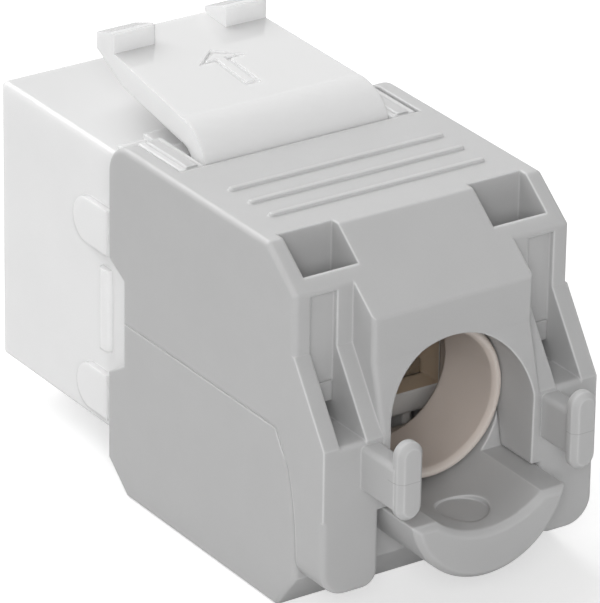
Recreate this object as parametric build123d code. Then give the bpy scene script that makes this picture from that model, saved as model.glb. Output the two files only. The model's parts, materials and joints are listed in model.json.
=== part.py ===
from build123d import *
import os

# A tool-free keystone jack: a white front housing with a plug port and a release tab, and two
# grey hinged covers that close over the wire terminals. Millimetres. X runs across, Y runs from
# the plug face to the cable end, Z is up. Each piece is drawn with the plug face at Y = 0 and
# the base of the lower cover at Z = 0; the export moves the middle of the length to the origin.

# Housing
housing_base = 2.25
housing_height = 16.06
housing_depth = 18.5
housing_wall = 1.2
housing_edge = 0.3
deck_length = 7.4
deck_rise = 0.3
deck_inset = 0.35
bed_half = 5.3
bed_rise = 0.3

# Plug port, latch side down
port_floor = 4.2
port_roof_rise = 4.96
port_side = 1.3
port_depth = 12.4
latch_width = 6.3
latch_depth = 1.4
key_width = 3.6
key_depth = 1.2

# Grips on the sides of the housing and the fixed hook below
lug_proud = 0.35
lug_height = 2.6
lug_gap = 1.25
upper_lug_length = 3.4
upper_lug_drop = 4.56
lower_lug_length = 3.05
lower_lug_rise = 2.0
rib_width = 0.9
rib_rise = 4.65
rib_height = 4.7
rib_round = 0.3
hook_start = 5.2
hook_length = 3.0
hook_drop = 1.2
hook_width = 8.0

# Hinges of the two covers
hinge_inset = 4.4
upper_hinge_drop = 1.91
lower_hinge_rise = 1.05
stub_radius = 1.1
stub_length = 0.7
hinge_play = 0.05
hinge_end_play = 0.05

# Release tab, turning on a bead at its root
tab_root_inset = 1.4
tab_bead_drop = 1.01
tab_crease_run = 2.2
tab_crease_rise = 2.97
tab_length = 9.6
tab_front_rise = 0.77
tab_thickness = 1.35
tab_bend = 2.7
tab_front_width = 9.1
tab_root_width = 11.3
tab_nose = 3.0
tab_nose_drop = 0.54
tab_play = 0.05
tab_travel_room = 0.3
ear_inner = 2.2
ear_length = 2.0
ear_height = 1.1
ear_tip = 0.35
arrow_start = 3.9
arrow_length = 4.2
arrow_head = 1.25
arrow_half = 1.45
arrow_shaft = 0.5
arrow_line = 0.26
arrow_point = 0.36
arrow_sink = 0.14

# Both covers
cover_width = 16.7
side_play = 0.15
cover_wall = 0.95
cover_rise = 1.49
cheek_reach = 1.65
cover_edge = 0.28
plate = 1.1
cable_rise = 7.75
seam_drop = 0.12
seam_gap = 0.12
seam_inset = 1.95
seam_run = 1.69
notch_rise = 2.52
notch_drop = 2.35
notch_slope = 0.9

# Upper cover
rail_round = 1.75
tab_clearance = 0.12
cover_room = 1.59
slope_run = 2.56
slope_drop = 1.97
flare_end_rise = 0.4
flare_height = 4.1
foot_length = 2.48
foot_bottom = 2.1
foot_round = 1.5
foot_inner_round = 0.9
pillar_width = 0.95
channel_width = 1.6
channel_depth = 0.33
channel_drop = 0.25
window_height = 2.1
block_width = 9.7
block_top_reach = 1.85
block_break_drop = 5.8
block_proud = 0.07
arch_radius = 4.4
arch_foot_drop = 3.6
pocket_inner = 4.1
pocket_length = 2.4
pocket_back_wall = 0.7
pocket_rise = 5.0
pocket_shell = 0.6
grip_rib_margin = 1.8
grip_rib_setback = 6.19
grip_rib_pitch = 1.83
grip_rib_width = 0.34
grip_rib_height = 0.16
grip_rib_count = 3

# Tie arms on the upper cover
arm_inner = 4.9
arm_width = 1.2
arm_drop = 2.3
arm_height = 2.5
bar_centre = 5.3
bar_width = 1.5
bar_drop = 2.8
bar_height = 4.3
bar_gap = 2.37
bar_thickness = 0.95
bar_edge = 0.28

# Lower cover
lower_front_drop = 0.98
lower_chamfer_front = 1.56
lower_chamfer_run = 1.88
lower_back_radius = 16.1
lower_back_reach = 0.31
lower_back_chamfer_run = 1.74
lower_back_chamfer_level = 2.2
spout_reach = 2.82
spout_rim_drop = 3.7
spout_radius = 4.75
spout_drop = 2.8
spout_edge = 0.3
trough_radius = 4.9
eject_radius = 1.4
eject_inset = 2.6
eject_sink = 0.08

# Inside: contact carrier, board, terminal block and wire manager
fit_play = 0.05
carrier_side = 0.75
carrier_height = 2.4
carrier_front = 2.2
contact_count = 8
contact_pitch = 1.016
contact_width = 0.46
contact_thick = 0.34
contact_setback = 2.0
contact_reach = 6.2
contact_drop = 2.05
contact_run_above = 0.55
board_thick = 1.2
board_margin = 0.15
board_hole_half = 0.4
terminal_reach = 3.7
terminal_side_room = 0.5
terminal_bar = 1.8
terminal_low_bar = 1.2
terminal_top_drop = 0.8
terminal_low_rise = 1.55
comb_height = 2.3
comb_setback = 0.2
comb_slot = 1.15
recess_depth = 2.8
recess_side = 0.9
idc_side = 0.3
idc_width = 1.9
idc_thick = 0.4
idc_slot = 0.36
idc_slot_depth = 2.4
idc_reach = 1.9
idc_below_tip = 0.4
idc_leg_width = 0.6
idc_leg_drop = 2.6
idc_leg_rise = 1.8
manager_slot_share = 26 / 35
manager_wall = 0.9
manager_back_wall = 1.5
manager_floor_room = 2.4
manager_top_room = 0.2
collar_radius = 4.0
collar_bore = 3.2
collar_length = 3.5
collar_edge = 0.28

# Derived places on the housing and the tab
cover_half = cover_width / 2
cover_inner = cover_half - cover_wall
housing_half = cover_inner - side_play
housing_top = housing_base + housing_height
deck_start = housing_depth - deck_length
deck_top = housing_top + deck_rise
bed_top = deck_top + bed_rise
port_width = (housing_half - port_side) * 2
port_height = housing_height - port_floor - port_roof_rise
port_bottom = housing_base + port_floor
port_roof = port_bottom + port_height
hinge_depth = housing_depth - hinge_inset
back_reach = hinge_depth + lower_back_radius
slope_end = back_reach - lower_back_reach
upper_hinge_level = housing_top - upper_hinge_drop
lower_hinge_level = housing_base + lower_hinge_rise
cover_front = hinge_depth - cheek_reach
lug_end = cover_front - lug_gap
rib_bottom = housing_base + rib_rise
tab_root = housing_depth - tab_root_inset
tab_bead_level = housing_top - tab_bead_drop
tab_crease = tab_root - tab_crease_run
tab_crease_level = housing_top + tab_crease_rise
tab_front = tab_crease - tab_length
tab_front_level = tab_crease_level + tab_front_rise
tab_slope = tab_front_rise / tab_length
ear_catch = tab_front + ear_length
arrow_tip = tab_front + arrow_start
arrow_end = arrow_tip + arrow_length

# Derived places inside
carrier_half = port_width / 2 - carrier_side
carrier_top = port_roof + carrier_height
contact_bend = carrier_front + contact_setback
contact_tip = contact_bend + contact_reach
contact_level = port_roof + contact_run_above + contact_thick / 2
pocket_half = housing_half - housing_wall
board_front = port_depth + housing_wall
board_back = board_front + board_thick
housing_pocket_bottom = housing_base + housing_wall
housing_pocket_top = carrier_top + fit_play
terminal_half = cover_inner - terminal_side_room
terminal_back = housing_depth + terminal_reach
terminal_top = housing_pocket_top - terminal_top_drop
terminal_low = housing_pocket_bottom + terminal_low_rise
comb_top = terminal_top + comb_height
comb_bottom = terminal_low - comb_height
idc_row = contact_count // 2
idc_pitch = (terminal_half - idc_side) * 2 / idc_row
idc_place = housing_depth + idc_reach
idc_leg_upper = terminal_top - idc_leg_drop
idc_leg_lower = terminal_low + idc_leg_rise
manager_back = slope_end - plate - cover_room
manager_inner_back = manager_back - manager_back_wall
manager_slot_end = terminal_back + (manager_inner_back - terminal_back) * manager_slot_share
collar_end = manager_back + collar_length

# Derived places on the covers
cover_height = housing_top + cover_rise
cable_level = housing_base + cable_rise
seam_level = cable_level - seam_drop
upper_seam = seam_level + seam_gap
notch_top = seam_level + notch_rise
notch_bottom = seam_level - notch_drop
slope_start = slope_end - slope_run
slope_end_level = cover_height - slope_drop
seam_end = back_reach - seam_inset
foot_back = back_reach + foot_length
flare_end_level = cable_level + flare_end_rise
flare_start_level = flare_end_level + flare_height
ridge_half = cover_half - pillar_width - channel_width
block_top_back = slope_end + block_top_reach
block_break_rise = cover_height - block_break_drop - cable_level
arch_foot_level = cable_level - arch_foot_drop
pocket_end = slope_end - pocket_back_wall
pocket_start = pocket_end - pocket_length
pocket_floor = cable_level + pocket_rise
grip_rib_first = slope_start - grip_rib_setback
grip_rib_half = cover_half - grip_rib_margin
arm_bottom = cable_level - arm_drop
bar_bottom = cable_level - bar_drop
bar_start = foot_back + bar_gap
bar_back = bar_start + bar_thickness
foot_front_radius = lower_back_radius + seam_gap
foot_inner = spout_radius + seam_gap + fit_play
foot_width = cover_half - foot_inner
spout_end = foot_back + spout_reach
spout_rim = cable_level - spout_rim_drop
spout_level = cable_level - spout_drop
manager_bottom = plate + manager_floor_room
manager_top = pocket_floor - pocket_shell - manager_top_room
overall_length = bar_back


def slab(x_low, x_high, y_low, y_high, z_low, z_high):
    """A box from its limits."""
    centre = Pos((x_low + x_high) / 2, (y_low + y_high) / 2, (z_low + z_high) / 2)
    return centre * Box(x_high - x_low, y_high - y_low, z_high - z_low)


def outline(*points):
    """A closed side outline of straight runs, given as (depth, height)."""
    return make_face(Polyline(*points, close=True))


def across(face, x_low, x_high):
    """A side outline made solid from one X to another."""
    return extrude(Plane.YZ.offset(x_low) * face, x_high - x_low, dir=(1, 0, 0))


def along(face, y_low, y_high):
    """An outline in X and Z made solid from one depth to another."""
    section = Plane((0, y_low, 0), x_dir=(1, 0, 0), z_dir=(0, -1, 0)) * face
    return extrude(section, y_high - y_low, dir=(0, 1, 0))


def axle(radius, x_low, x_high, depth, level):
    """A cylinder across the part."""
    return Pos((x_low + x_high) / 2, depth, level) * Rot(0, 90, 0) * Cylinder(radius, x_high - x_low)


def barrel(radius, y_low, y_high, level):
    """A cylinder along the part, on its middle plane."""
    return Pos(0, (y_low + y_high) / 2, level) * Rot(90, 0, 0) * Cylinder(radius, y_high - y_low)


def both_sides(solid):
    """A piece and its mirror image."""
    return solid + mirror(solid, Plane.YZ)


def idc_places():
    """X places of the four wire terminals in a row."""
    return [(number - (idc_row - 1) / 2) * idc_pitch for number in range(idc_row)]


def contact_places():
    """X places of the plug contacts."""
    return [(number - (contact_count - 1) / 2) * contact_pitch for number in range(contact_count)]


def tab_top(depth):
    """Height of the tab's flat top at a depth."""
    return tab_front_level - tab_slope * (depth - tab_front)


def make_housing():
    """The front housing: port, carrier seat and board pocket cut into one moulding."""
    body = slab(-housing_half, housing_half, 0, housing_depth, housing_base, housing_top)
    body = fillet(body.edges().filter_by(Axis.Y) + body.faces().sort_by(Axis.Y)[0].edges(), housing_edge)
    deck_half = housing_half - deck_inset
    body += slab(-deck_half, deck_half, deck_start, housing_depth, housing_top, deck_top)
    body += slab(-bed_half, bed_half, deck_start, housing_depth, deck_top, bed_top)
    body -= slab(-port_width / 2, port_width / 2, 0, port_depth, port_bottom, port_roof)
    latch_floor = port_bottom - latch_depth
    body -= slab(-latch_width / 2, latch_width / 2, 0, port_depth, latch_floor, port_bottom)
    body -= slab(-key_width / 2, key_width / 2, 0, port_depth, latch_floor - key_depth, latch_floor)
    seat_half = carrier_half + fit_play
    body -= slab(-seat_half, seat_half, carrier_front, board_front, port_roof, housing_pocket_top)
    body -= slab(-pocket_half, pocket_half, board_front, housing_depth,
                 housing_pocket_bottom, housing_pocket_top)
    return body + both_sides(side_details()) + make_hook() - tab_seat()


def side_details():
    """Round-nosed grips, upright rib and hinge stubs on one side of the housing."""
    outer = housing_half + lug_proud
    details = rounded_grip(housing_top - upper_lug_drop, upper_lug_length, outer)
    details += rounded_grip(housing_base + lower_lug_rise, lower_lug_length, outer)
    rib = slab(housing_half - lug_proud, outer, lug_end - rib_width, lug_end,
               rib_bottom, rib_bottom + rib_height)
    details += fillet(rib.edges().filter_by(Axis.Z).sort_by(Axis.X)[-2:], rib_round)
    for level in (upper_hinge_level, lower_hinge_level):
        details += axle(stub_radius, housing_half - lug_proud, housing_half + stub_length, hinge_depth, level)
    return details


def rounded_grip(level, length, outer):
    """A raised bar along the side with a half-round nose."""
    radius = lug_height / 2
    nose_depth = lug_end - length + radius
    grip = slab(housing_half - lug_proud, outer, nose_depth, lug_end, level - radius, level + radius)
    return grip + axle(radius, housing_half - lug_proud, outer, nose_depth, level)


def make_hook():
    """The fixed wedge under the housing that hooks behind a panel edge."""
    low = housing_base - hook_drop
    hook_catch = hook_start + hook_length
    wedge = outline((hook_start, housing_base + housing_edge), (hook_catch, housing_base + housing_edge),
                    (hook_catch, low), (hook_catch - hook_drop, low))
    return across(wedge, -hook_width / 2, hook_width / 2)


def tab_seat():
    """Room in the housing for the bead and the root of the tab."""
    half = tab_root_width / 2 + tab_play
    reach = tab_thickness / 2 + tab_play
    seat = axle(reach, -half, half, tab_root, tab_bead_level)
    return seat + slab(-half, half, tab_root - reach - tab_travel_room, tab_root + reach,
                       tab_bead_level, bed_top)


def make_tab():
    """The sprung tab: a flat tongue with a bend, a root bead, two catch ears and an arrow."""
    half = tab_root_width / 2
    reach = tab_thickness / 2
    root_back = tab_root + reach
    tongue = outline((tab_front, tab_front_level - tab_thickness), (tab_front, tab_front_level),
                     (tab_crease, tab_crease_level), (root_back, tab_crease_level),
                     (root_back, tab_bead_level), (root_back - tab_thickness, tab_bead_level),
                     (root_back - tab_thickness, tab_crease_level - tab_thickness),
                     (tab_crease, tab_crease_level - tab_thickness))
    solid = across(tongue, -half, half)
    bend_edge = solid.edges().filter_by(Axis.X).sort_by_distance((0, root_back, tab_crease_level))[0]
    solid = fillet(bend_edge, tab_bend)
    under = solid.edges().filter_by(Axis.X)
    inner_edge = under.sort_by_distance((0, root_back - tab_thickness, tab_crease_level - tab_thickness))[0]
    solid = fillet(inner_edge, tab_bend - tab_thickness)
    solid += axle(reach, -half, half, tab_root, tab_bead_level)
    solid += both_sides(catch_ear())
    solid -= nose_cut(half)
    sides = Polyline((-tab_front_width / 2, tab_front), (tab_front_width / 2, tab_front), (half, tab_root),
                     (half, root_back), (-half, root_back), (-half, tab_root), close=True)
    solid &= extrude(make_face(sides), tab_front_level + ear_height + ear_tip)
    return solid - arrow_groove()


def catch_ear():
    """One wedge ear, rising from the front edge to an upright catch face."""
    top = tab_top(ear_catch) + ear_height
    wedge = outline((tab_front, tab_front_level - tab_thickness / 2), (tab_front, tab_front_level + ear_tip),
                    (ear_catch - ear_tip, top), (ear_catch, top), (ear_catch, tab_top(ear_catch) - ear_tip))
    return across(wedge, ear_inner, tab_root_width / 2)


def nose_cut(half):
    """What the rounded underside of the front edge takes away."""
    low = tab_front_level - tab_thickness - tab_nose
    corner = outline((tab_front - tab_nose, low), (tab_front + tab_nose, low),
                     (tab_front + tab_nose, tab_top(tab_front + tab_nose) - tab_thickness),
                     (tab_front, tab_front_level - tab_nose_drop),
                     (tab_front - tab_nose, tab_front_level - tab_nose_drop))
    return across(corner, -half, half)


def arrow_groove():
    """A shallow outline arrow sunk into the flat top, pointing to the plug end."""
    neck = arrow_tip + arrow_head
    inset = arrow_line * 2
    outer = outline((0, arrow_tip), (arrow_half, neck), (arrow_shaft, neck), (arrow_shaft, arrow_end),
                    (-arrow_shaft, arrow_end), (-arrow_shaft, neck), (-arrow_half, neck))
    shaft = arrow_shaft - arrow_line
    inner = outline((0, arrow_tip + arrow_point), (arrow_half - inset, neck - arrow_line),
                    (shaft, neck - arrow_line), (shaft, arrow_end - arrow_line),
                    (-shaft, arrow_end - arrow_line), (-shaft, neck - arrow_line),
                    (-arrow_half + inset, neck - arrow_line))
    level = tab_top(arrow_tip)
    tilted = Plane((0, arrow_tip, level - arrow_sink), x_dir=(1, 0, 0), z_dir=(0, tab_slope, 1))
    flat = Pos(0, -arrow_tip) * (outer - inner)
    return extrude(tilted * flat, tab_thickness)


def tab_sweep():
    """The round space that the tab's bend fills as seen from the upper hinge."""
    corner_rise = cover_height - upper_hinge_level
    plate_front = tab_root + tab_thickness / 2 + tab_clearance
    return ((plate_front - hinge_depth) ** 2 + corner_rise ** 2) ** 0.5


def upper_side():
    """Side outline of the upper cover down to the seam."""
    side = outline((cover_front, cover_height), (slope_start, cover_height), (slope_end, slope_end_level),
                   (slope_end, upper_seam), (hinge_depth, upper_seam), (hinge_depth, notch_top),
                   (cover_front, notch_top + notch_slope))
    corner = side.vertices().sort_by_distance((cover_front, cover_height))[0]
    return fillet(corner, rail_round)


def upper_hollow():
    """Inside of the upper cover: over the terminals, and behind them above the collar."""
    slope = (cover_height - slope_end_level) / (slope_end - slope_start)
    inner_back = slope_end - plate
    boss_front = pocket_start - plate
    ceiling = cover_height - plate
    hollow = slab(-cover_inner, cover_inner, 0, boss_front, 0, ceiling)
    hollow += slab(-cover_inner, cover_inner, 0, inner_back, 0, pocket_floor - pocket_shell)
    centre_half = pocket_inner - plate
    sloped = outline((0, 0), (inner_back, 0), (inner_back, slope_end_level - plate),
                     (slope_start - plate, slope_end_level - plate
                      + slope * (inner_back - slope_start + plate)), (0, slope_end_level - plate))
    return hollow + across(sloped, -centre_half, centre_half) & slab(
        -cover_half, cover_half, 0, inner_back, 0, ceiling)


def flare():
    """Side outline of the rear flare from the upright wall to the feet."""
    back_wall = slope_end - plate / 2
    shape = outline((back_wall, flare_start_level), (slope_end, flare_start_level),
                    (foot_back, flare_end_level), (foot_back, arch_foot_level), (back_wall, arch_foot_level))
    return shape - Pos(hinge_depth, lower_hinge_level) * Circle(foot_front_radius)


def make_foot():
    """One rear foot, round at its lower corners, its front on an arc about the lower hinge."""
    face = outline((foot_inner, foot_bottom), (cover_half, foot_bottom), (cover_half, flare_end_level),
                   (foot_inner, flare_end_level))
    low = face.vertices().group_by(Axis.Y)[0].sort_by(Axis.X)
    face = fillet(low[-1], min(foot_round, foot_width / 2))
    inner_low = face.vertices().sort_by_distance((foot_inner, foot_bottom))[0]
    face = fillet(inner_low, min(foot_inner_round, foot_width / 3))
    foot = mirror(along(mirror(face, Plane.YZ), slope_end - plate, foot_back), Plane.YZ)
    foot -= axle(foot_front_radius, 0, cover_half + cover_wall, hinge_depth, lower_hinge_level)
    back = foot.faces().sort_by(Axis.Y)[-1]
    foot = fillet(back.edges(), cover_edge)
    return foot + across(seam_corner(seam_gap), foot_inner, cover_half)


def make_arm():
    """One tie arm: a stem from the foot with a stadium-shaped cross bar."""
    stem = slab(arm_inner, arm_inner + arm_width, foot_back - plate, bar_start + bar_thickness / 2,
                arm_bottom, arm_bottom + arm_height)
    stem = fillet(stem.edges().filter_by(Axis.Y), cover_edge)
    bar_face = Pos(bar_centre, bar_bottom + bar_height / 2) * SlotOverall(bar_height, bar_width, rotation=90)
    bar = along(bar_face, bar_start, bar_back)
    ends = bar.faces().sort_by(Axis.Y)
    return stem + chamfer(ends[0].edges() + ends[-1].edges(), bar_edge)


def make_block():
    """The solid nose between the feet that carries the cable arch."""
    back_wall = slope_end - plate
    run = (slope_end - slope_start) / (cover_height - slope_end_level)
    top_level = cover_height - (block_top_back - slope_start) / run
    side = outline((back_wall, arch_foot_level), (back_wall, cover_height - (back_wall - slope_start) / run),
                   (block_top_back, top_level), (block_top_back, cable_level + block_break_rise),
                   (foot_back + block_proud, flare_end_level), (foot_back, arch_foot_level))
    side -= Pos(hinge_depth, lower_hinge_level) * Circle(foot_front_radius)
    block = across(side, -block_width / 2, block_width / 2)
    upright = block.edges().filter_by(lambda edge: edge.center().Y > block_top_back - seam_gap)
    return fillet(upright.filter_by(lambda edge: edge.center().Z > flare_end_level), cover_edge)


def make_upper_cover():
    """The upper jaw: rails, top plate, pockets, cable arch, feet and tie arms."""
    shell = across(upper_side(), -cover_half, cover_half)
    shell = fillet(shell.edges().filter_by(
        lambda edge: edge.center().Z > notch_top + notch_slope + cover_edge
        and (abs(edge.center().X) > cover_inner or edge.center().Y > slope_start - plate)), cover_edge)
    shell -= upper_hollow()
    open_front = slab(-cover_inner, cover_inner, 0, hinge_depth, 0, cover_height + plate)
    shell -= open_front + axle(tab_sweep(), -cover_inner, cover_inner, hinge_depth, upper_hinge_level)
    shell += across(flare(), -ridge_half, ridge_half)
    shell += both_sides(across(flare(), cover_half - pillar_width, cover_half))
    shell += both_sides(make_foot() + make_arm()) + make_block()
    arch = barrel(arch_radius, slope_end - plate * 2, bar_back, cable_level)
    arch += slab(-arch_radius, arch_radius, slope_end - plate * 2, bar_back, 0, cable_level)
    shell -= arch
    channel_outer = cover_half - pillar_width
    window = slab(ridge_half, channel_outer, slope_end - plate * 2, slope_end + seam_gap,
                  flare_end_level, flare_end_level + window_height)
    channel = slab(ridge_half, channel_outer, slope_end - channel_depth, foot_back,
                   flare_end_level, slope_end_level - channel_drop)
    pocket = slab(pocket_inner, cover_inner, pocket_start, pocket_end, pocket_floor, cover_height + plate)
    socket = axle(stub_radius + hinge_play, 0, housing_half + stub_length + hinge_end_play,
                  hinge_depth, upper_hinge_level)
    shell -= both_sides(window + channel + pocket + socket)
    return shell + grip_ribs()


def grip_ribs():
    """The low ribs across the top plate."""
    ribs = []
    for number in range(grip_rib_count):
        depth = grip_rib_first + number * grip_rib_pitch
        ribs.append(slab(-grip_rib_half, grip_rib_half,
                         depth - grip_rib_width / 2, depth + grip_rib_width / 2,
                         cover_height - grip_rib_height, cover_height + grip_rib_height))
    return ribs


def lower_side():
    """Side outline of the lower cover, its back on an arc about the lower hinge."""
    side = outline((cover_front, lower_chamfer_front), (cover_front + lower_chamfer_run, 0),
                   (back_reach - lower_back_chamfer_run, 0), (back_reach, lower_back_chamfer_level),
                   (back_reach, seam_level), (hinge_depth, seam_level), (hinge_depth, notch_bottom),
                   (cover_front, notch_bottom - lower_front_drop))
    side &= Pos(hinge_depth, lower_hinge_level) * Circle(lower_back_radius)
    return side - seam_corner(0)


def seam_corner(gap):
    """Side outline above the slanted end of the seam, where the upper cover reaches down."""
    start = seam_end + gap
    return outline((start, seam_level + gap), (start + seam_run, notch_bottom),
                   (foot_back - plate, notch_bottom), (foot_back - plate, seam_level + gap))


def make_lower_cover():
    """The lower jaw: sides, floor, rounded back and the half-round cable spout."""
    shell = across(lower_side(), -cover_half, cover_half)
    bottom_sides = shell.edges().filter_by(lambda edge: abs(edge.center().X) > cover_inner
                                           and edge.center().Z < notch_bottom - plate)
    shell = fillet(bottom_sides, cover_edge)
    hollow = slab(-cover_inner, cover_inner, 0, back_reach, plate, cover_height)
    hollow &= axle(lower_back_radius - plate, -cover_half, cover_half, hinge_depth, lower_hinge_level)
    shell -= hollow + slab(-cover_inner, cover_inner, 0, hinge_depth, 0, cover_height)
    shell += make_spout()
    shell -= barrel(trough_radius, hinge_depth, spout_end + plate, cable_level)
    mark_floor = Pos(0, spout_end - eject_inset, cable_level - trough_radius - eject_sink)
    mark = mark_floor * Cylinder(eject_radius, eject_radius, align=(Align.CENTER, Align.CENTER, Align.MIN))
    socket = axle(stub_radius + hinge_play, 0, housing_half + stub_length + hinge_end_play,
                  hinge_depth, lower_hinge_level)
    return shell - mark - both_sides(socket)


def make_spout():
    """The rounded tongue under the cable, from the back wall to its free end."""
    start = back_reach - plate
    spout = barrel(spout_radius, start, spout_end, spout_level)
    spout &= slab(-spout_radius, spout_radius, start, spout_end, 0, spout_rim)
    spout -= barrel(trough_radius, 0, spout_end + plate, cable_level)
    return chamfer(spout.faces().sort_by(Axis.Y)[-1].edges(), spout_edge)


def make_carrier():
    """The comb that holds the plug contacts in the roof of the port."""
    block = slab(-carrier_half, carrier_half, carrier_front + fit_play, board_front, port_roof, carrier_top)
    groove_half = contact_width / 2 + fit_play
    run_top = port_roof + contact_run_above + contact_thick
    for place in contact_places():
        block -= slab(place - groove_half, place + groove_half, carrier_front, board_front,
                      port_roof, run_top)
    return block


def make_plug_contact(place):
    """One sprung contact: along its groove, round a bend and back down into the port."""
    path = FilletPolyline((board_back, contact_level), (contact_bend, contact_level),
                          (contact_tip, port_roof - contact_drop), radius=contact_thick)
    wire_path = Plane.YZ.offset(place) * path
    section = Plane((place, board_back, contact_level), x_dir=(1, 0, 0), z_dir=(0, -1, 0))
    return sweep(section * Rectangle(contact_width, contact_thick), path=wire_path)


def make_board():
    """The upright board, with holes for the contact tails."""
    half = pocket_half - board_margin
    board = slab(-half, half, board_front, board_back, housing_pocket_bottom + board_margin,
                 housing_pocket_top - board_margin)
    holes = [(place, contact_level) for place in contact_places()]
    holes += [(place, leg) for place in idc_places() for leg in (idc_leg_upper, idc_leg_lower)]
    for place, height in holes:
        board -= slab(place - board_hole_half, place + board_hole_half, board_front, board_back,
                      height - board_hole_half, height + board_hole_half)
    return board


def make_terminal_block():
    """The white comb block behind the board, with slots for wires and blades above and below."""
    stem_half = pocket_half - board_margin
    block = slab(-stem_half, stem_half, board_back, housing_depth, housing_pocket_bottom + board_margin,
                 housing_pocket_top - board_margin)
    half = terminal_half
    block += slab(-half, half, housing_depth, terminal_back, terminal_low, terminal_top)
    comb_back = terminal_back - comb_setback
    block += slab(-half, half, housing_depth + comb_setback, comb_back, comb_bottom, comb_top)
    recess_half = half - recess_side
    block -= slab(-recess_half, recess_half, terminal_back - recess_depth, terminal_back,
                  terminal_low + terminal_low_bar, terminal_top - terminal_bar)
    for number in range(1 - idc_row, idc_row):
        place = number * idc_pitch / 2
        for low, high in ((comb_bottom, terminal_low), (terminal_top, comb_top)):
            block -= slab(place - comb_slot / 2, place + comb_slot / 2,
                          housing_depth, terminal_back, low, high)
    for place in idc_places():
        block -= blade_room(place, idc_leg_upper, comb_top)
        block -= blade_room(place, idc_leg_lower, comb_bottom)
    return block


def blade_room(place, leg_level, tip_level):
    """Room in the comb for one blade and its leg to the board."""
    wide = idc_width / 2 + fit_play
    thin = idc_thick / 2 + fit_play
    leg_half = idc_leg_width / 2 + fit_play
    away = 1 if tip_level > leg_level else -1
    base = leg_level - away * thin
    room = slab(place - wide, place + wide, idc_place - thin, idc_place + thin,
                min(base, tip_level), max(base, tip_level))
    return room + slab(place - leg_half, place + leg_half, board_back, idc_place + thin,
                       leg_level - thin, leg_level + thin)


def make_idc_contact(place, leg_level, tip_level):
    """One forked blade with a leg that runs forward into the board."""
    away = 1 if tip_level > leg_level else -1
    base = leg_level - away * idc_thick / 2
    tip = tip_level - away * idc_below_tip
    wide = idc_width / 2
    thin = idc_thick / 2
    blade = slab(place - wide, place + wide, idc_place - thin, idc_place + thin,
                 min(base, tip), max(base, tip))
    root = tip - away * idc_slot_depth
    blade -= slab(place - idc_slot / 2, place + idc_slot / 2, idc_place - idc_thick, idc_place + idc_thick,
                  min(root, tip), max(root, tip))
    leg_half = idc_leg_width / 2
    return blade + slab(place - leg_half, place + leg_half, board_front, idc_place + thin,
                        leg_level - thin, leg_level + thin)


def make_collar():
    """The round collar of the wire guide, its rim broken on both sides."""
    tube = barrel(collar_radius, manager_inner_back, collar_end, cable_level)
    tube -= barrel(collar_bore, manager_inner_back, collar_end, cable_level)
    return chamfer(tube.faces().sort_by(Axis.Y)[-1].edges(), collar_edge)


def make_manager():
    """The beige wire guide: an open box with wire notches and a round collar behind."""
    half = terminal_half
    body = slab(-half, half, terminal_back, manager_back, manager_bottom, manager_top)
    body = fillet(body.edges().filter_by(Axis.Y), manager_wall / 2)
    body -= slab(-half + manager_wall, half - manager_wall, terminal_back, manager_inner_back,
                 manager_bottom + manager_wall, manager_top - manager_wall)
    body -= barrel(collar_bore, manager_inner_back, manager_back, cable_level)
    body += make_collar()
    for place in idc_places():
        body -= slab(place - comb_slot / 2, place + comb_slot / 2, terminal_back, manager_slot_end,
                     manager_bottom, manager_top)
    return body


def write(name, solid):
    """Save one piece, with the middle of the whole length at the origin."""
    export_step(Pos(0, -overall_length / 2, 0) * solid, f"parts/{name}.step")


def main():
    os.makedirs("parts", exist_ok=True)
    write("jack_housing", make_housing())
    write("release_tab", make_tab())
    write("upper_cover", make_upper_cover())
    write("lower_cover", make_lower_cover())
    write("wire_manager", make_manager())
    write("terminal_block", make_terminal_block())
    write("circuit_board", make_board())
    write("contact_carrier", make_carrier())
    for number, place in enumerate(contact_places(), start=1):
        write(f"plug_contact_{number}", make_plug_contact(place))
    rows = [(place, idc_leg_upper, comb_top) for place in idc_places()]
    rows += [(place, idc_leg_lower, comb_bottom) for place in idc_places()]
    for number, (place, leg_level, tip_level) in enumerate(rows, start=1):
        write(f"idc_contact_{number}", make_idc_contact(place, leg_level, tip_level))


main()
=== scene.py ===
# %% [markdown]
# A tool-free keystone jack, about as big as a thumb joint: a glossy white plug housing in front, and
# two satin grey covers that close over the wire terminals behind it. The solids come in as a fixed
# frame at their real size in metres. This lesson leaves their places alone and dresses them: it
# softens the edges as a mould does, and gives each plastic and metal its own finish.

# %% Load the frame
import json
import math
import bpy
import bmesh
from mathutils import Matrix, Vector


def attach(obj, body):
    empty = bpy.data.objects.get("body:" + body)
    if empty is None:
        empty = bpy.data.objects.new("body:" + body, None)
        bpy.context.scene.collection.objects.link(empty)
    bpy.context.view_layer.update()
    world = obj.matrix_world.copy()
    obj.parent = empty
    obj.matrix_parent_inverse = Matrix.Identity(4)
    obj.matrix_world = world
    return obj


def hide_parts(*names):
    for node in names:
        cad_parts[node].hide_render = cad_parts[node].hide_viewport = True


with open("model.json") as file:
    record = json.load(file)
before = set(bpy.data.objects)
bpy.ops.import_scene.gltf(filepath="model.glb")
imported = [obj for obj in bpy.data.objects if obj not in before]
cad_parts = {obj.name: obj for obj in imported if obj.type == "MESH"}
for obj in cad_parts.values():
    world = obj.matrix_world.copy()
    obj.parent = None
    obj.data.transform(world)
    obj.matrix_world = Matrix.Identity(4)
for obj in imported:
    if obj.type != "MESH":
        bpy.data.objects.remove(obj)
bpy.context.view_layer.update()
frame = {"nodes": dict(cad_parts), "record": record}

MM = 0.001
nodes = frame["nodes"]

# %% [markdown]
# The camera stands where the photographer stood: behind the jack, to its left and above it. A long
# lens from far away keeps the edges nearly parallel, as in a catalogue picture. A Track To constraint
# could aim the camera, but it has no roll of its own and this picture is turned by about one degree,
# so the three axes of the view are worked out and put in the camera's matrix.

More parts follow.
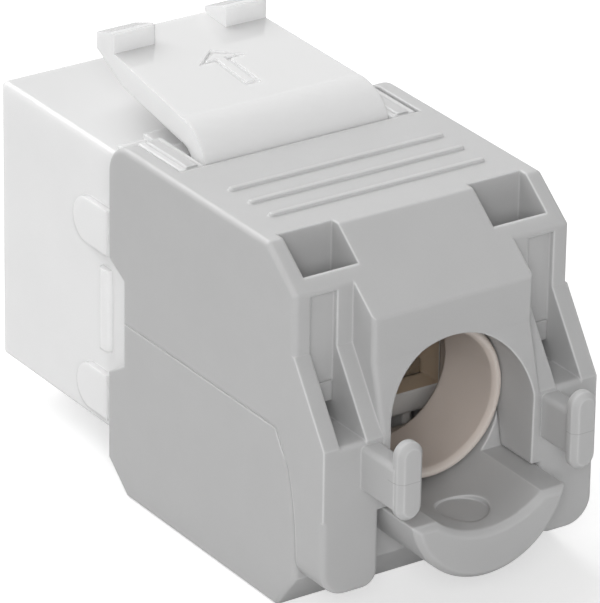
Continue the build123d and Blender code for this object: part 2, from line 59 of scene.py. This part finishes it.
# %% Camera
PHOTO_HEIGHT = 603
FOCAL_PIXELS = 5880
VIEW_AZIMUTH = math.radians(145.97)
VIEW_ELEVATION = math.radians(25.29)
VIEW_ROLL = math.radians(0.92)
VIEW_DISTANCE = 306.3 * MM
VIEW_TARGET = Vector((-0.36, -0.55, 10.42)) * MM
SENSOR_WIDTH = 36
NEAR_CLIP = 10 * MM
FAR_CLIP = 10


def view_axes():
    """Right, up and backward directions of the view, its roll included."""
    flat = math.cos(VIEW_ELEVATION)
    back = Vector((math.sin(VIEW_AZIMUTH) * flat, -math.cos(VIEW_AZIMUTH) * flat,
                   math.sin(VIEW_ELEVATION)))
    right = Vector((math.cos(VIEW_AZIMUTH), math.sin(VIEW_AZIMUTH), 0))
    roll = Matrix.Rotation(VIEW_ROLL, 3, back)
    return roll @ right, roll @ back.cross(right), back


right, up, back = view_axes()
camera = bpy.data.objects.new("photo_camera", bpy.data.cameras.new("photo_camera"))
camera.data.sensor_width = SENSOR_WIDTH
camera.data.lens = FOCAL_PIXELS * SENSOR_WIDTH / PHOTO_HEIGHT
camera.data.clip_start = NEAR_CLIP
camera.data.clip_end = FAR_CLIP
turn = Matrix((right, up, back)).transposed().to_4x4()
camera.matrix_world = Matrix.Translation(VIEW_TARGET + back * VIEW_DISTANCE) @ turn
bpy.context.scene.collection.objects.link(camera)
bpy.context.scene.camera = camera
print("lens", round(camera.data.lens, 1), "mm")

# %% [markdown]
# The studio is a pale floor in a bright, even surround. A photographer would hang white cloth all
# round; a plain world colour does the same with less to build. A Light Path node tells the rays apart:
# the camera and the mirror-like reflections see pure white cloth, while the even light that the cloth
# gives off stays lower, so that the lamps still shape the part. The floor is an ordinary pale surface
# and keeps the soft shadow under the jack. A little light of its own, for the camera only, keeps the
# shadow faint and the white of the page even.

# %% Surround and floor
SURROUND_LIGHT = 0.28
FLOOR_SIZE = 0.6
FLOOR_TONE = 0.7
FLOOR_GLOW = 0.5
WHITE = (1, 1, 1, 1)


def make_surround():
    """A plain world that gives an even light and looks white behind the jack."""
    world = bpy.data.worlds.new("studio_surround")
    world.use_nodes = True
    tree = world.node_tree
    glow = tree.nodes["Background"]
    glow.inputs["Color"].default_value = WHITE
    glow.inputs["Strength"].default_value = SURROUND_LIGHT
    backdrop = tree.nodes.new("ShaderNodeBackground")
    backdrop.inputs["Color"].default_value = WHITE
    path = tree.nodes.new("ShaderNodeLightPath")
    mix = tree.nodes.new("ShaderNodeMixShader")
    seen = path.outputs["Is Camera Ray"]
    for kind in ("Is Glossy Ray", "Is Transmission Ray"):
        either = tree.nodes.new("ShaderNodeMath")
        either.operation = "MAXIMUM"
        tree.links.new(seen, either.inputs[0])
        tree.links.new(path.outputs[kind], either.inputs[1])
        seen = either.outputs["Value"]
    tree.links.new(seen, mix.inputs["Fac"])
    tree.links.new(glow.outputs["Background"], mix.inputs[1])
    tree.links.new(backdrop.outputs["Background"], mix.inputs[2])
    tree.links.new(mix.outputs["Shader"], tree.nodes["World Output"].inputs["Surface"])
    bpy.context.scene.world = world


def make_floor():
    """A wide pale floor."""
    mesh = bpy.data.meshes.new("studio_floor")
    shape = bmesh.new()
    bmesh.ops.create_grid(shape, x_segments=1, y_segments=1, size=FLOOR_SIZE)
    shape.to_mesh(mesh)
    shape.free()
    floor = bpy.data.objects.new("studio_floor", mesh)
    bpy.context.scene.collection.objects.link(floor)
    finish = bpy.data.materials.new("floor_white")
    finish.use_nodes = True
    surface = finish.node_tree.nodes["Principled BSDF"]
    surface.inputs["Base Color"].default_value = (FLOOR_TONE, FLOOR_TONE, FLOOR_TONE, 1)
    surface.inputs["Roughness"].default_value = 1
    surface.inputs["Specular IOR Level"].default_value = 0
    surface.inputs["Emission Color"].default_value = WHITE
    glow = finish.node_tree.nodes.new("ShaderNodeMath")
    glow.operation = "MULTIPLY"
    glow.inputs[1].default_value = FLOOR_GLOW
    path = finish.node_tree.nodes.new("ShaderNodeLightPath")
    finish.node_tree.links.new(path.outputs["Is Camera Ray"], glow.inputs[0])
    finish.node_tree.links.new(glow.outputs["Value"], surface.inputs["Emission Strength"])
    mesh.materials.append(finish)


make_surround()
make_floor()
bpy.context.scene.view_settings.view_transform = "Standard"
print("surround", SURROUND_LIGHT, "floor", FLOOR_TONE)

# %% [markdown]
# In the picture the top is the lightest grey, then the left side, and the slope and the back are the
# darkest. So the main lamp hangs above the plug end, beyond the jack as the camera sees it, and a
# little to the left. It is large, which keeps the shadows soft. The pockets and the cable opening are
# not black in the picture, so a second, weaker lamp stands behind the camera and shines into them. It
# is kept out of the reflections, because a small lamp would show as a glaring spot from the front.

# %% Lamps
LAMP_PLACE = Vector((0.07, -0.3, 0.4))
LAMP_SIZE = 0.5
LAMP_POWER = 2.3
FILL_PLACE = Vector((0.253, 0.375, 0.214))
FILL_SIZE = 0.2
FILL_POWER = 1.05


def make_lamp(name, place, size, power):
    """One large square lamp that faces the jack."""
    lamp = bpy.data.objects.new(name, bpy.data.lights.new(name, "AREA"))
    lamp.data.shape = "SQUARE"
    lamp.data.size = size
    lamp.data.energy = power
    aim = (place - VIEW_TARGET).to_track_quat("Z", "Y").to_matrix().to_4x4()
    lamp.matrix_world = Matrix.Translation(place) @ aim
    bpy.context.scene.collection.objects.link(lamp)
    return lamp


make_lamp("front_lamp", LAMP_PLACE, LAMP_SIZE, LAMP_POWER)
fill = make_lamp("fill_lamp", FILL_PLACE, FILL_SIZE, FILL_POWER)
fill.visible_glossy = False
print("lamps", LAMP_POWER, "W and", FILL_POWER, "W")

# %% [markdown]
# No moulded edge is truly sharp. The solids have their larger roundings, and the runs that catch the
# light need finer ones: the tie bars, the lip of the spout, the rim of the wire guide and the ribs of
# the top plate. Each of those pieces is copied, its loose triangles are merged and its flat faces made
# whole again, and then the bevel operator rounds just the edges inside a chosen box. A Weighted Normal
# modifier keeps the large flat faces evenly shaded next to the small round ones. The copy stands for
# the solid and rides on the same body. The collar of the wire guide is also opened out: the picture
# shows a thinner wall and a wider bore than the solid, and a rim that stands a little further in. The
# side walls of the lower cover come closer to the upper one, so that their seam is only a hair line.

# %% Rounded copies
SHARP = math.radians(30)
MERGE = 0.0005 * MM
FLAT = math.radians(0.5)
UPRIGHT = 0.9
BEVEL_SEGMENTS = 3
TIE_BARS = ((4.2, 16.9, 7.0), (6.5, 18.1, 11.7))
RIB_TOPS = ((0, 2.5, 19.9), (6.7, 7.5, 20.1))
RIB_ENDS = ((6.4, 2.5, 19.7), (6.7, 7.5, 20.1))
SPOUT_LIP = ((0, 17.0, 2.0), (5.0, 17.6, 6.5))
GUIDE_RIM = ((0, 11.8, 5.5), (4.5, 12.3, 14.5))
CABLE_LEVEL = 10.0
COLLAR_START = 7.6
COLLAR_LIMIT = 4.05
SOLID_BORE = 3.2
SOLID_RADIUS = 4.0
COLLAR_BORE = 3.8
COLLAR_RADIUS = 4.33
RIM_START = 12.0
RIM_SETBACK = 0.5
SEAM_LEVEL = 9.88
SEAM_MARGIN = 0.005
SEAM_LIFT = 0.08
TIE_BAR_EDGE = 0.12
RIB_END_EDGE = 0.14
RIB_TOP_EDGE = 0.08
SPOUT_EDGE = 0.12
RIM_EDGE = 0.09


def inside(vert, box):
    """Whether a corner lies in a box given in millimetres, by its distance from the middle plane in X."""
    place = (abs(vert.co.x) / MM, vert.co.y / MM, vert.co.z / MM)
    return all(low <= value <= high for value, low, high in zip(place, *box))


def is_upright(edge):
    """Whether an edge runs nearly straight up."""
    first, second = edge.verts
    return abs((first.co - second.co).normalized().z) > UPRIGHT


def bevel_edges(shape, edges, width_mm):
    """Rounds the given edges."""
    bmesh.ops.bevel(shape, geom=edges, offset=width_mm * MM, offset_type="OFFSET", segments=BEVEL_SEGMENTS,
                    profile=0.5, affect="EDGES", clamp_overlap=True, material=-1)


def bevel_inside(shape, box, width_mm, upright_only=False):
    """Rounds the sharp edges whose two ends lie in the box, and says how many there were."""
    edges = [edge for edge in shape.edges
             if edge.calc_face_angle(0) > SHARP and all(inside(vert, box) for vert in edge.verts)]
    if upright_only:
        edges = [edge for edge in edges if is_upright(edge)]
    bevel_edges(shape, edges, width_mm)
    return len(edges)


def widen_collar(shape):
    """Gives the collar of the wire guide the thin wall and the wide bore of the picture."""
    for vert in shape.verts:
        reach = Vector((vert.co.x, 0, vert.co.z - CABLE_LEVEL * MM))
        if vert.co.y > COLLAR_START * MM and reach.length < COLLAR_LIMIT * MM:
            share = (reach.length / MM - SOLID_BORE) / (SOLID_RADIUS - SOLID_BORE)
            wider = reach.normalized() * (COLLAR_BORE + share * (COLLAR_RADIUS - COLLAR_BORE)) * MM
            vert.co.x = wider.x
            vert.co.z = wider.z + CABLE_LEVEL * MM
        if vert.co.y > RIM_START * MM:
            vert.co.y -= RIM_SETBACK * MM


def close_seam(shape):
    """Lifts the top of the lower cover's side walls towards the upper cover."""
    for vert in shape.verts:
        if abs(vert.co.z / MM - SEAM_LEVEL) < SEAM_MARGIN:
            vert.co.z += SEAM_LIFT * MM


def show_even(piece):
    """Links a piece into the scene and keeps its flat faces evenly shaded."""
    bpy.context.scene.collection.objects.link(piece)
    even = piece.modifiers.new("even_shading", "WEIGHTED_NORMAL")
    even.keep_sharp = True


def rounded_copy(name, body, runs, reshape=None):
    """A merged copy of one solid with some of its edges rounded, in its place."""
    shape = bmesh.new()
    shape.from_mesh(nodes[name].data)
    bmesh.ops.remove_doubles(shape, verts=shape.verts, dist=MERGE)
    bmesh.ops.dissolve_limit(shape, angle_limit=FLAT, verts=shape.verts, edges=shape.edges)
    if reshape:
        reshape(shape)
    rounded = [bevel_inside(shape, *run) for run in runs]
    for face in shape.faces:
        face.smooth = True
    for edge in shape.edges:
        edge.smooth = edge.calc_face_angle(math.pi) < SHARP
    mesh = bpy.data.meshes.new(name + "_moulded")
    shape.to_mesh(mesh)
    shape.free()
    piece = bpy.data.objects.new(name + "_moulded", mesh)
    show_even(piece)
    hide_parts(name)
    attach(piece, body)
    print(piece.name, "edges rounded", rounded, "faces", len(mesh.polygons))
    return piece


pieces = {
    "upper_cover": rounded_copy("upper_cover", "upper_cover",
                                [(TIE_BARS, TIE_BAR_EDGE), (RIB_ENDS, RIB_END_EDGE, True),
                                 (RIB_TOPS, RIB_TOP_EDGE)]),
    "lower_cover": rounded_copy("lower_cover", "lower_cover", [(SPOUT_LIP, SPOUT_EDGE)], close_seam),
    "wire_manager": rounded_copy("wire_manager", "housing", [(GUIDE_RIM, RIM_EDGE)], widen_collar),
}

# %% [markdown]
# Two small forms are added to the solids. Beside the root of the tab white cheeks stand about as high
# as the grey rails, and a step joins them under the tab. The windows low in the back are closed above
# by a short wall, here a lintel on each side. All of them are plain boxes, so a cube is put in place by
# a matrix and its edges are bevelled.

# %% Added forms
CHEEK = ((5.8, -4.4, 18.5), (7.25, -0.25, 19.74))
RIDGE = ((6.15, -4.25, 19.6), (6.85, -0.4, 19.82))
STEP = ((-5.85, -4.4, 18.5), (5.85, -2.85, 19.2))
LINTEL = ((5.75, 10.8, 11.4), (7.45, 11.56, 12.52))
CHEEK_EDGE = 0.07
LINTEL_EDGE = 0.01


def add_box(shape, low, high):
    """A box between two corners given in millimetres."""
    low, high = Vector(low) * MM, Vector(high) * MM
    place = Matrix.Translation((low + high) / 2) @ Matrix.Diagonal((*(high - low), 1))
    bmesh.ops.create_cube(shape, size=1, matrix=place)


def both_sides(shape, box):
    """The same box on both sides of the middle plane."""
    (low_x, low_y, low_z), (high_x, high_y, high_z) = box
    add_box(shape, *box)
    add_box(shape, (-high_x, low_y, low_z), (-low_x, high_y, high_z))


def add_piece(name, shape, body, slot, edge_mm):
    """Bevels a shape of boxes and makes it a piece that rides on a body."""
    bevel_edges(shape, shape.edges[:], edge_mm)
    for face in shape.faces:
        face.smooth = True
    mesh = bpy.data.meshes.new(name)
    shape.to_mesh(mesh)
    shape.free()
    piece = bpy.data.objects.new(name, mesh)
    show_even(piece)
    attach(piece, body)
    added[piece] = slot
    print(name, "faces", len(mesh.polygons))


added = {}
cheeks = bmesh.new()
both_sides(cheeks, CHEEK)
both_sides(cheeks, RIDGE)
add_box(cheeks, *STEP)
add_piece("tab_cheeks", cheeks, "housing", "housing_white", CHEEK_EDGE)
lintels = bmesh.new()
both_sides(lintels, LINTEL)
add_piece("window_lintels", lintels, "upper_cover", "cover_grey", LINTEL_EDGE)

# %% [markdown]
# Every finish starts from the same few nodes. The texture reads Object coordinates, which are metres
# here, so a noise scale of 8000 means grains of about an eighth of a millimetre. A Bevel node bends the
# light a little over the remaining edges, and the difference between its normal and the real one says
# where an edge is: there the colour is made paler, a painted highlight along the edges.

# %% Shared nodes
SOFT_RADIUS = 0.2
FINE_RADIUS = 0.08
BEVEL_SAMPLES = 8
EDGE_GAIN = 6.0
# How strongly the edges get their painted highlight.
EDGE_HIGHLIGHT_SHARE = 0.7
NOISE_LOW = 0.3
NOISE_HIGH = 0.7
GRAIN_HEIGHT = 0.01
FLOW_SCALE = 300
FLOW_CHANGE = 0.015
SPECK_SCALE = 12000
SPECK_SHARE = 0.5
SPECK_TONE = 0.97
SHEEN_SCALE = 900
GLOW_SHARE = 0.6
EVEN_GLOW = (1.0, 1.0, 1.0)


def new_finish(name):
    """A material with its node tree and its main shader."""
    finish = bpy.data.materials.new(name)
    finish.use_nodes = True
    return finish, finish.node_tree, finish.node_tree.nodes["Principled BSDF"]


def math_node(tree, operation, first, second):
    """A Math node on two sockets or values."""
    node = tree.nodes.new("ShaderNodeMath")
    node.operation = operation
    for place, value in enumerate((first, second)):
        if isinstance(value, (int, float)):
            node.inputs[place].default_value = value
        else:
            tree.links.new(value, node.inputs[place])
    return node.outputs["Value"]


def noise(tree, scale, detail):
    """Noise on Object coordinates."""
    place = tree.nodes.new("ShaderNodeTexCoord")
    cloud = tree.nodes.new("ShaderNodeTexNoise")
    cloud.inputs["Scale"].default_value = scale
    cloud.inputs["Detail"].default_value = detail
    tree.links.new(place.outputs["Object"], cloud.inputs["Vector"])
    return cloud.outputs["Fac"]


def between(tree, fac, low, high):
    """A value from low to high as the factor runs over the noise's usual span."""
    span = tree.nodes.new("ShaderNodeMapRange")
    span.inputs["From Min"].default_value = NOISE_LOW
    span.inputs["From Max"].default_value = NOISE_HIGH
    span.inputs["To Min"].default_value = low
    span.inputs["To Max"].default_value = high
    tree.links.new(fac, span.inputs["Value"])
    return span.outputs["Result"]


def blend_colours(tree, fac, first, second):
    """A colour between two, each given as three numbers or a socket."""
    mix = tree.nodes.new("ShaderNodeMix")
    mix.data_type = "RGBA"
    tree.links.new(fac, mix.inputs["Factor"])
    for place, colour in (("A", first), ("B", second)):
        socket = [entry for entry in mix.inputs if entry.name == place and entry.type == "RGBA"][0]
        if isinstance(colour, tuple):
            socket.default_value = (*colour, 1)
        else:
            tree.links.new(colour, socket)
    return [entry for entry in mix.outputs if entry.type == "RGBA"][0]


def soft_normal(tree, radius_mm=SOFT_RADIUS):
    """A normal that bends over the edges nearby."""
    bevel = tree.nodes.new("ShaderNodeBevel")
    bevel.samples = BEVEL_SAMPLES
    bevel.inputs["Radius"].default_value = radius_mm * MM
    return bevel.outputs["Normal"]


def edge_mask(tree, normal):
    """How much of an edge there is, from the angle between the bent normal and the real one."""
    plain = tree.nodes.new("ShaderNodeNewGeometry")
    dot = tree.nodes.new("ShaderNodeVectorMath")
    dot.operation = "DOT_PRODUCT"
    tree.links.new(normal, dot.inputs[0])
    tree.links.new(plain.outputs["Normal"], dot.inputs[1])
    turned = math_node(tree, "SUBTRACT", 1.0, dot.outputs["Value"])
    edge = tree.nodes.new("ShaderNodeClamp")
    tree.links.new(math_node(tree, "MULTIPLY", turned, EDGE_GAIN), edge.inputs["Value"])
    return edge.outputs["Result"]


def grain(tree, shader, normal, scale, strength):
    """A fine moulded grain in the light."""
    bump = tree.nodes.new("ShaderNodeBump")
    bump.inputs["Strength"].default_value = strength
    bump.inputs["Distance"].default_value = GRAIN_HEIGHT * MM
    tree.links.new(noise(tree, scale, detail=3), bump.inputs["Height"])
    tree.links.new(normal, bump.inputs["Normal"])
    tree.links.new(bump.outputs["Normal"], shader.inputs["Normal"])


def facing_up(tree):
    """One on faces that look up, nought on upright ones."""
    plain = tree.nodes.new("ShaderNodeNewGeometry")
    split = tree.nodes.new("ShaderNodeSeparateXYZ")
    tree.links.new(plain.outputs["Normal"], split.inputs["Vector"])
    clamp = tree.nodes.new("ShaderNodeClamp")
    tree.links.new(split.outputs["Z"], clamp.inputs["Value"])
    return clamp.outputs["Result"]


def lighter(colour, factor):
    """A colour made lighter or darker."""
    return tuple(min(1.0, part * factor) for part in colour)


def place_parts(tree):
    """X, Y and Z of the point being shaded, in metres."""
    place = tree.nodes.new("ShaderNodeTexCoord")
    split = tree.nodes.new("ShaderNodeSeparateXYZ")
    tree.links.new(place.outputs["Object"], split.inputs["Vector"])
    return split.outputs["X"], split.outputs["Y"], split.outputs["Z"]


def within(tree, value, low_mm, high_mm):
    """One where a coordinate lies between two places, nought elsewhere."""
    above = math_node(tree, "GREATER_THAN", value, low_mm * MM)
    return math_node(tree, "MULTIPLY", above, math_node(tree, "LESS_THAN", value, high_mm * MM))


def moulded(name, colour, rough, grain_scale, grain_strength, edge_highlight, glow_mm, marks=None,
            soft_mm=SOFT_RADIUS):
    """A moulded plastic: slight flow marks, grain, a painted highlight on the edges and light that sinks
    in a little.
    """
    finish, tree, shader = new_finish(name)
    normal = soft_normal(tree, soft_mm)
    flow = between(tree, noise(tree, FLOW_SCALE, detail=2), 0.0, 1.0)
    body = blend_colours(tree, flow, lighter(colour, 1 - FLOW_CHANGE), lighter(colour, 1 + FLOW_CHANGE))
    speck = between(tree, noise(tree, SPECK_SCALE, detail=1), 0.0, SPECK_SHARE)
    body = blend_colours(tree, speck, body, lighter(colour, SPECK_TONE))
    # Painted highlight: the colour is made paler along the edges.
    faint = math_node(tree, "MULTIPLY", edge_mask(tree, normal), EDGE_HIGHLIGHT_SHARE)
    body = blend_colours(tree, faint, body, lighter(colour, edge_highlight))
    if marks:
        body = marks(tree, body)
    tree.links.new(body, shader.inputs["Base Color"])
    tree.links.new(between(tree, noise(tree, SHEEN_SCALE, detail=3), *rough), shader.inputs["Roughness"])
    shader.inputs["Subsurface Weight"].default_value = GLOW_SHARE
    shader.inputs["Subsurface Scale"].default_value = glow_mm * MM
    shader.inputs["Subsurface Radius"].default_value = EVEN_GLOW
    grain(tree, shader, normal, grain_scale, grain_strength)
    return finish


finishes = {}
print("shared nodes ready")

# %% [markdown]
# The covers are satin grey plastic, moulded in a mould with a spark-etched, slightly rough wall. That
# gives a broad soft sheen and a grain too fine to feel. Where the two halves of the mould met there is
# a hair line, seen best half-way up the tie bars. It is drawn by height: the colour darkens in a band
# four hundredths of a millimetre high, and only at the very back, where the bars stand.

# %% Grey covers
COVER_GREY = (0.54, 0.54, 0.54)
PARTING_LEVEL = 9.35
PARTING_HALF = 0.02
BAR_START = 17.0
BAR_END = 20.0
LINE_TONE = 0.8


def parting_line(tree, body):
    """The hair line half-way up the tie bars."""
    along, height = place_parts(tree)[1:]
    line = within(tree, height, PARTING_LEVEL - PARTING_HALF, PARTING_LEVEL + PARTING_HALF)
    line = math_node(tree, "MULTIPLY", line, within(tree, along, BAR_START, BAR_END))
    return blend_colours(tree, line, body, lighter(COVER_GREY, LINE_TONE))


finishes["cover_grey"] = moulded("cover_grey", COVER_GREY, rough=(0.38, 0.48), grain_scale=8000,
                                 grain_strength=0.12, edge_highlight=1.42, glow_mm=0.5, marks=parting_line)
print("cover grey", COVER_GREY)

# %% [markdown]
# The plug housing is glossy white plastic from a polished mould. It is nearly as bright as the page
# behind it, so only its faint shading and its reflections show the form. White plastic lets light in a
# little way, which subsurface scattering copies, and its edges glow a little from that, with a faint
# painted highlight on them as well. The real plastic is one white all over. Here the faces that look up
# get the most lamp light, so painted shade makes them a greyer white, which keeps their tone near the
# picture's.

# %% White housing
HOUSING_WHITE = (0.92, 0.92, 0.92)
# Painted shade: the faces that look up get this greyer white.
HOUSING_TOP_SHADE = (0.72, 0.72, 0.72)


def painted_top_shade(tree, body):
    """Painted shade: a greyer white on the faces that look up."""
    return blend_colours(tree, facing_up(tree), body, HOUSING_TOP_SHADE)


finishes["housing_white"] = moulded("housing_white", HOUSING_WHITE, rough=(0.14, 0.2), grain_scale=2500,
                                    grain_strength=0.02, edge_highlight=1.06, glow_mm=0.6, marks=painted_top_shade)
print("housing white", HOUSING_WHITE)

# %% [markdown]
# The release tab belongs to the same moulding, but its top is the smoothest part: in the picture the two
# ears stand mirrored in it. A clear coat over the same greyer white gives that reflection without making
# the whole housing look wet. The coat's weight follows the upward direction of the surface, so the sides
# of the ears and the walls of the arrow stay dull.

# %% Release tab
TAB_WHITE = (0.9, 0.9, 0.9)
TAB_SHINE = 0.5
COAT_ROUGHNESS = 0.04
COAT_IOR = 2.6
# The tab's white is a little darker than the housing's, and its top gets the same greyer white; both are
# painted shade, and its edges get the painted highlight.
tab_finish = moulded("tab_white", TAB_WHITE, rough=(0.06, 0.09), grain_scale=1500, grain_strength=0.01,
                     edge_highlight=1.06, glow_mm=0.6, marks=painted_top_shade, soft_mm=FINE_RADIUS)
tab_tree = tab_finish.node_tree
tab_shader = tab_tree.nodes["Principled BSDF"]
polish = facing_up(tab_tree)
tab_tree.links.new(polish, tab_shader.inputs["Coat Weight"])
tab_tree.links.new(math_node(tab_tree, "MULTIPLY", polish, TAB_SHINE),
                   tab_shader.inputs["Specular IOR Level"])
tab_shader.inputs["Coat Roughness"].default_value = COAT_ROUGHNESS
tab_shader.inputs["Coat IOR"].default_value = COAT_IOR
print("tab white", TAB_WHITE)

# %% [markdown]
# Inside sit a beige wire guide, of a softer plastic with a waxy look, and the white terminal block
# behind it. Only one bar of the block shows white through the collar; the hollow around that bar lies in
# shade, warmed by light from the beige guide, and that shade is painted on: a mask made from the three
# coordinates picks out the walls of the hollow and gives them a beige colour.

# %% Guide and terminal block
GUIDE_BEIGE = (0.68, 0.61, 0.56)
TERMINAL_WHITE = (0.9, 0.89, 0.87)
HOLLOW_SHADE_BEIGE = (0.72, 0.6, 0.47)
HOLLOW_BOX = ((-6.05, 6.05), (1.3, 4.12), (6.15, 13.25))


def painted_hollow_shade(tree, body):
    """Painted shade: beige walls in the hollow of the terminal block."""
    mask = 1.0
    for value, (low, high) in zip(place_parts(tree), HOLLOW_BOX):
        mask = math_node(tree, "MULTIPLY", mask, within(tree, value, low, high))
    return blend_colours(tree, mask, body, HOLLOW_SHADE_BEIGE)


finishes["guide_beige"] = moulded("guide_beige", GUIDE_BEIGE, rough=(0.3, 0.4), grain_scale=8000,
                                  grain_strength=0.08, edge_highlight=1.12, glow_mm=0.7)
finishes["terminal_white"] = moulded("terminal_white", TERMINAL_WHITE, rough=(0.3, 0.4), grain_scale=8000,
                                     grain_strength=0.08, edge_highlight=1.05, glow_mm=0.5, marks=painted_hollow_shade)
print("guide", GUIDE_BEIGE, "terminal", TERMINAL_WHITE)

# %% [markdown]
# The circuit board is glass fibre under a green lacquer. Copper tracks lift the lacquer and show through
# as paler stripes, about a millimetre apart. A Wave texture draws them; an image would do too,
# but it would have to be unwrapped. The contact carrier is a black plastic that stands soldering heat,
# filled with short glass fibres that leave it dull and speckled.

# %% Board and carrier
BOARD_GREEN = (0.02, 0.15, 0.06)
TRACK_GREEN = (0.06, 0.3, 0.12)
CARRIER_BLACK = (0.045, 0.045, 0.048)
TRACK_SCALE = 300
TRACK_WOBBLE = 1.5
TRACK_LEVEL = 0.7
FIBRE_SCALE = 9000
FIBRE_LEVEL = 0.62
FIBRE_TONE = 1.8


def copper_tracks(tree, body):
    """Paler stripes where copper lies under the lacquer."""
    place = tree.nodes.new("ShaderNodeTexCoord")
    wave = tree.nodes.new("ShaderNodeTexWave")
    wave.bands_direction = "X"
    wave.inputs["Scale"].default_value = TRACK_SCALE
    wave.inputs["Distortion"].default_value = TRACK_WOBBLE
    wave.inputs["Detail"].default_value = 0
    tree.links.new(place.outputs["Object"], wave.inputs["Vector"])
    track = math_node(tree, "GREATER_THAN", wave.outputs["Fac"], TRACK_LEVEL)
    return blend_colours(tree, track, body, TRACK_GREEN)


def glass_specks(tree, body):
    """Paler specks of glass fibre."""
    speck = math_node(tree, "GREATER_THAN", noise(tree, FIBRE_SCALE, detail=2), FIBRE_LEVEL)
    return blend_colours(tree, speck, body, lighter(CARRIER_BLACK, FIBRE_TONE))


finishes["board_green"] = moulded("board_green", BOARD_GREEN, rough=(0.25, 0.35), grain_scale=5000,
                                  grain_strength=0.05, edge_highlight=1.1, glow_mm=0.1, marks=copper_tracks)
finishes["carrier_dark"] = moulded("carrier_dark", CARRIER_BLACK, rough=(0.45, 0.6), grain_scale=8000,
                                   grain_strength=0.2, edge_highlight=1.2, glow_mm=0.1, marks=glass_specks)
print("board", BOARD_GREEN, "carrier", CARRIER_BLACK)

# %% [markdown]
# The plug contacts are sprung bronze wires plated with gold, and the forked blades that cut into the
# wires are plated with tin, which is greyer and duller. Both are metals: all their colour is in the
# reflection. Drawing and stamping leave streaks along the metal, so the noise that sets the roughness
# is stretched along the length of the jack.

# %% Metals
CONTACT_GOLD = (0.92, 0.68, 0.3)
CONTACT_TIN = (0.7, 0.7, 0.68)
STREAKS = (9000, 600, 9000)
STREAK_TONE = 0.85


def plated(name, colour, rough):
    """A plated metal with fine streaks."""
    finish, tree, shader = new_finish(name)
    place = tree.nodes.new("ShaderNodeTexCoord")
    stretch = tree.nodes.new("ShaderNodeVectorMath")
    stretch.operation = "MULTIPLY"
    stretch.inputs[1].default_value = STREAKS
    streak = tree.nodes.new("ShaderNodeTexNoise")
    streak.inputs["Scale"].default_value = 1
    tree.links.new(place.outputs["Object"], stretch.inputs[0])
    tree.links.new(stretch.outputs["Vector"], streak.inputs["Vector"])
    fac = streak.outputs["Fac"]
    tree.links.new(between(tree, fac, *rough), shader.inputs["Roughness"])
    streaked = blend_colours(tree, fac, lighter(colour, STREAK_TONE), colour)
    tree.links.new(streaked, shader.inputs["Base Color"])
    shader.inputs["Metallic"].default_value = 1
    tree.links.new(soft_normal(tree), shader.inputs["Normal"])
    return finish


finishes["contact_gold"] = plated("contact_gold", CONTACT_GOLD, rough=(0.14, 0.24))
finishes["contact_tin"] = plated("contact_tin", CONTACT_TIN, rough=(0.26, 0.38))
print("metals", CONTACT_GOLD, CONTACT_TIN)

# %% [markdown]
# Every piece gets the finish that its record names. The release tab is the one exception: it has the
# polished version of the housing's white.

# %% Hand out the finishes
for part in frame["record"]["subparts"]:
    name = part["node"]
    piece = pieces.get(name, nodes[name])
    piece.data.materials.clear()
    piece.data.materials.append(tab_finish if name == "release_tab" else finishes[part["material_slot"]])
for piece, slot in added.items():
    piece.data.materials.append(finishes[slot])
print("finishes", sorted(finishes))
